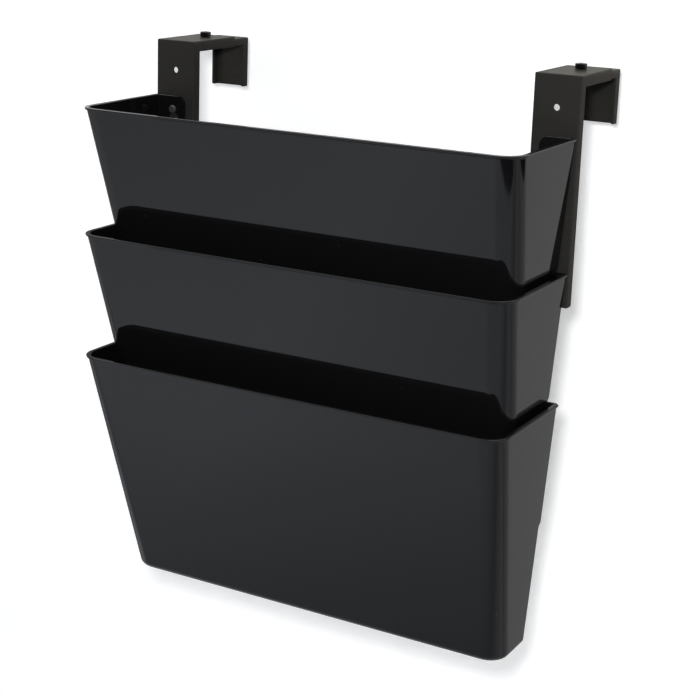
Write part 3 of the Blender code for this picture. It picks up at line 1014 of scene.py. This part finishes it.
def seenDirectly(tree):
    path = tree.nodes.new("ShaderNodeLightPath")
    both = addMath(tree, "MAXIMUM", path.outputs["Is Camera Ray"], path.outputs["Is Glossy Ray"])
    return addMath(tree, "MAXIMUM", both, path.outputs["Is Transmission Ray"])


# lets the views from behind and below see through
def oneSided(tree, surface):
    clear = addNode(tree, "ShaderNodeBsdfTransparent")
    geometry = addNode(tree, "ShaderNodeNewGeometry")
    pick = addNode(tree, "ShaderNodeMixShader", geometry.outputs["Backfacing"], surface, clear.outputs[0])
    addNode(tree, "ShaderNodeOutputMaterial", pick.outputs[0])


# a piece of the studio, and the empty node tree of its material
def stagePiece(bm, name):
    mesh = closeMesh(bm, bpy.data.meshes.new(name))
    material = bpy.data.materials.new(name)
    material.use_nodes = True
    material.node_tree.nodes.clear()
    mesh.materials.append(material)
    thing = addObject(name, mesh)
    thing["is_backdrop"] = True
    return thing, material.node_tree


def makeSweep():
    s = studio
    wall, floor = s["wallY"], s["floorZ"]
    bm = bmesh.new()
    verts = [bm.verts.new((-s["width"] / 2, y, z))
             for y, z in ((wall, s["top"]), (wall, floor), (s["front"], floor))]
    edges = [bm.edges.new(pair) for pair in zip(verts, verts[1:])]
    grown = bmesh.ops.extrude_edge_only(bm, edges=edges)
    bmesh.ops.translate(bm, verts=newPoints(grown), vec=(s["width"], 0, 0))
    bevel(bm, edgesAt(bm, [{"y": wall, "z": floor}]), s["bend"], s["bendSteps"])
    bm.normal_update()
    if sum(face.normal.y for face in bm.faces) > 0:
        bmesh.ops.reverse_faces(bm, faces=bm.faces[:])
    sweep, tree = stagePiece(bm, "sweep")
    sweep.data.shade_smooth()
    sweep.visible_glossy = False  # reflections see the cards, and white past them
    paper = addNode(tree, "ShaderNodeBsdfDiffuse", (s["colour"], s["colour"], s["colour"], 1))
    lift = addMath(tree, "MULTIPLY", seenDirectly(tree), s["glow"])
    glow = addNode(tree, "ShaderNodeEmission", None, lift)
    both = addNode(tree, "ShaderNodeAddShader", paper.outputs[0], glow.outputs[0])
    oneSided(tree, both.outputs[0])


# hangs a flat shape that only reflections see
def hang(bm, name):
    thing, tree = stagePiece(bm, name)
    thing.visible_camera = False
    thing.visible_diffuse = False
    thing.visible_shadow = False
    thing.visible_transmission = False
    thing.visible_volume_scatter = False
    return tree


def cardLevel(tree, spot, card):
    level = 1
    for way, (near, first), (far, last) in card["ramps"]:
        along = addNode(tree, "ShaderNodeVectorMath", spot, way)
        along.operation = "DOT_PRODUCT"
        ramp = addRange(tree, along.outputs["Value"], near, far, first, last)
        level = addMath(tree, "MULTIPLY", ramp, level)
    if "blackUpTo" in card:
        parts = addNode(tree, "ShaderNodeSeparateXYZ", spot)
        beside = addRange(tree, addMath(tree, "ABSOLUTE", parts.outputs["X"]), *card["blackUpTo"], 0, 1)
        beneath = addRange(tree, parts.outputs["Z"], *card["blackDownTo"], 1, 0)
        level = addMath(tree, "MULTIPLY", level, addMath(tree, "MAXIMUM", beside, beneath))
    return level


def makeCard(name, card):
    tilt, turn = (math.radians(angle) for angle in card["turns"])
    bm = bmesh.new()
    bmesh.ops.create_grid(bm, x_segments=1, y_segments=1, size=0.5)
    bmesh.ops.scale(bm, verts=bm.verts[:], vec=(*card["size"], 1))
    bmesh.ops.transform(bm, verts=bm.verts[:], matrix=Matrix.Translation(card["centre"])
                        @ Matrix.Rotation(turn, 4, "Z") @ Matrix.Rotation(tilt, 4, "X"))
    tree = hang(bm, name)
    spot = addNode(tree, "ShaderNodeTexCoord").outputs["Object"]
    tint = (*card.get("tint", (1, 1, 1)), 1)
    glow = addNode(tree, "ShaderNodeEmission", tint, cardLevel(tree, spot, card))
    oneSided(tree, glow.outputs[0])


def makeFlag(name, plane, depth, outline):
    bm = bmesh.new()
    bm.faces.new([bm.verts.new(plane(u, v, depth)) for u, v in outline])
    tree = hang(bm, name)
    black = addNode(tree, "ShaderNodeEmission", (0, 0, 0, 1))
    addNode(tree, "ShaderNodeOutputMaterial", black.outputs[0])


def makeWorld():
    world = bpy.data.worlds.new("studioRoom")
    bpy.context.scene.world = world
    world.use_nodes = True
    tree = world.node_tree
    background = tree.nodes["Background"]
    seen = seenDirectly(tree)
    way = addNode(tree, "ShaderNodeSeparateXYZ", addNode(tree, "ShaderNodeTexCoord").outputs["Generated"])
    sky = addRange(tree, way.outputs["X"], -1, 1, *studio["skyLight"])
    tree.links.new(addRange(tree, seen, 0, 1, sky, 1.0), background.inputs["Strength"])
    tree.links.new(mixColours(tree, seen, studio["skyTint"], (1, 1, 1)), background.inputs["Color"])


lens = {
    "place": (0.5378, -0.9958, 0.1255),
    "yaw": 30.22,
    "pitch": 14.50,
    "roll": 1.57,
    "focal": 84.376,
    "shift": (0.0714, -0.0714),
}


def lensMatrix():
    yaw, pitch, roll = (math.radians(lens[angle]) for angle in ("yaw", "pitch", "roll"))
    forward = Vector((-math.sin(yaw) * math.cos(pitch), math.cos(yaw) * math.cos(pitch), -math.sin(pitch)))
    right = Vector((math.cos(yaw), math.sin(yaw), 0))
    up = right.cross(forward)
    tiltedRight = right * math.cos(roll) + up * math.sin(roll)
    tiltedUp = up * math.cos(roll) - right * math.sin(roll)
    turn = Matrix((tiltedRight, tiltedUp, -forward)).transposed().to_4x4()
    return Matrix.Translation(lens["place"]) @ turn


def makeCamera():
    data = bpy.data.cameras.new("camera")
    data.lens = lens["focal"]
    data.shift_x, data.shift_y = lens["shift"]
    camera = addObject("camera", data)
    camera.matrix_world = lensMatrix()
    bpy.context.scene.camera = camera


# a small round lamp beside the camera, swung about the object's middle
def makeKeyLamp():
    target = Vector((0, 0, (cadLow.z + cadHigh.z) / 2))
    away = Vector(lens["place"]) - target
    away = Matrix.Rotation(-math.radians(studio["keyLeft"]), 3, "Z") @ away
    level = away.cross(Vector((0, 0, 1)))
    away = Matrix.Rotation(math.radians(studio["keyUp"]), 3, level) @ away
    data = bpy.data.lights.new("keyLamp", "AREA")
    data.shape = "DISK"
    data.size = studio["keySize"]
    data.energy = studio["keyShare"] * math.pi ** 2 * away.length_squared
    lamp = addObject("keyLamp", data)
    lamp.location = target + away
    lamp.rotation_euler = (-away).to_track_quat("-Z", "Y").to_euler()
    lamp.visible_glossy = False


makeSweep()
for name, card in cards.items():
    makeCard(name, card)
for name, (plane, depth, outline) in flags.items():
    makeFlag(name, plane, depth, outline)
makeWorld()
makeCamera()
makeKeyLamp()
bpy.context.scene.view_settings.view_transform = "Standard"
print("studio lit")

low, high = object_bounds()
